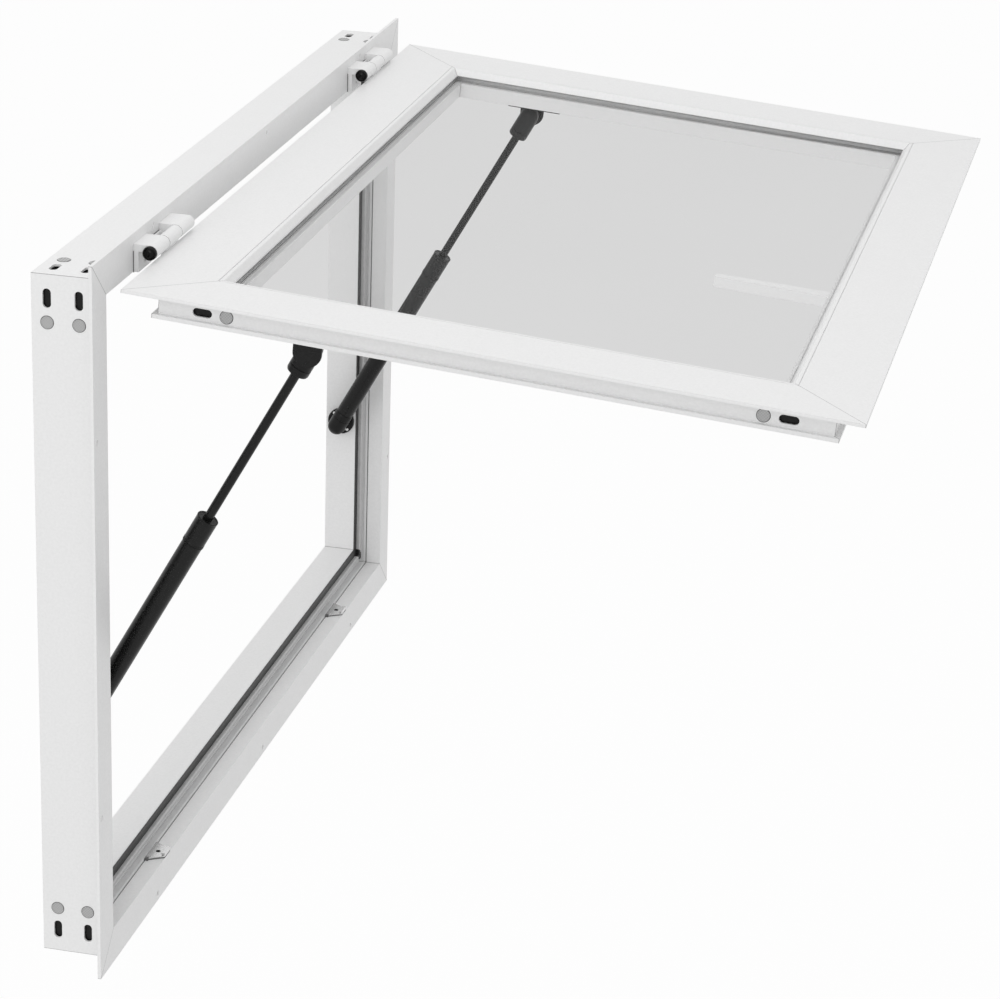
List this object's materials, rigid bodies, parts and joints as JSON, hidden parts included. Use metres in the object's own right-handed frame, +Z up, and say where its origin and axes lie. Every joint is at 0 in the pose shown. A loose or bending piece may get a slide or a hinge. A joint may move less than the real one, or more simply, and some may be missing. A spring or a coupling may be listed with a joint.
{
  "type": "awning concession window",
  "caption": "White framed serving window with a wall flange and a top-hinged glazed door that is held open by gas struts.",
  "frame": {"origin": "on the back face of the wall flange, in the middle of the strip below the sill", "axes": "+X along the width, to the right seen from outside; -Y out of the wall; +Z up"},
  "size_m": [0.928, 0.6634, 0.628],
  "materials": {
    "white_aluminium": "satin powder coat",
    "tinted_glass": "clear, light grey tint",
    "black_rubber": "matt",
    "grey_plastic": "satin",
    "black_steel": "semi-gloss black",
    "black_plastic": "satin",
    "bright_steel": "bright zinc"
  },
  "bodies": {
    "frame": {"frame_head": "white_aluminium", "frame_sill": "white_aluminium", "frame_left_jamb": "white_aluminium", "frame_right_jamb": "white_aluminium", "frame_seal": "black_rubber", "frame_corner_plugs": "grey_plastic", "hinge_left_frame_leaf": "white_aluminium", "hinge_right_frame_leaf": "white_aluminium", "hinge_left_pin": "black_steel", "hinge_right_pin": "black_steel", "left_jamb_ball_stud": "black_steel", "right_jamb_ball_stud": "black_steel", "left_striker": "bright_steel", "right_striker": "bright_steel"},
    "door": {"door_top_rail": "white_aluminium", "door_bottom_rail": "white_aluminium", "door_left_stile": "white_aluminium", "door_right_stile": "white_aluminium", "door_glass": "tinted_glass", "glazing_gasket": "black_rubber", "door_corner_plugs": "grey_plastic", "hinge_left_door_leaf": "white_aluminium", "hinge_right_door_leaf": "white_aluminium", "left_door_ball_bracket": "black_steel", "right_door_ball_bracket": "black_steel", "handle_base": "white_aluminium"},
    "lever": {"lever_handle": "white_aluminium"},
    "left_rod": {"left_strut_rod": "black_steel", "left_strut_upper_socket": "black_plastic"},
    "left_cylinder": {"left_strut_cylinder": "black_steel", "left_strut_lower_socket": "black_plastic"},
    "right_rod": {"right_strut_rod": "black_steel", "right_strut_upper_socket": "black_plastic"},
    "right_cylinder": {"right_strut_cylinder": "black_steel", "right_strut_lower_socket": "black_plastic"}
  },
  "joints": [
    {"name": "door_swing", "type": "hinge", "parent": "frame", "child": "door", "pos_m": [0, -0.0176, 0.6062], "axis": [1, 0, 0], "range_deg": [0, 85.5]},
    {"name": "lever_turn", "type": "hinge", "parent": "door", "child": "lever", "pos_m": [0, -0.55399, 0.51102], "axis": [0, 0.0785, -0.9969], "range_deg": [0, 90]},
    {"name": "left_strut_pivot", "type": "hinge", "parent": "door", "child": "left_rod", "pos_m": [-0.392, -0.16071, 0.54849], "axis": [1, 0, 0], "range_deg": [-113.41, 0.5]},
    {"name": "left_strut_slide", "type": "slide", "parent": "left_rod", "child": "left_cylinder", "axis": [0, -0.486, 0.874], "range_m": [-0.001, 0.1415]},
    {"name": "right_strut_pivot", "type": "hinge", "parent": "door", "child": "right_rod", "pos_m": [0.392, -0.16071, 0.54849], "axis": [1, 0, 0], "range_deg": [-113.41, 0.5]},
    {"name": "right_strut_slide", "type": "slide", "parent": "right_rod", "child": "right_cylinder", "axis": [0, -0.486, 0.874], "range_m": [-0.001, 0.1415]}
  ],
  "couplings": [
    {"joint": "left_strut_pivot", "follows": "door_swing", "ratio": -1.3206},
    {"joint": "left_strut_slide", "follows": "door_swing", "m_per_rad": 0.094151},
    {"joint": "right_strut_pivot", "follows": "door_swing", "ratio": -1.3206},
    {"joint": "right_strut_slide", "follows": "door_swing", "m_per_rad": 0.094151}
  ]
}
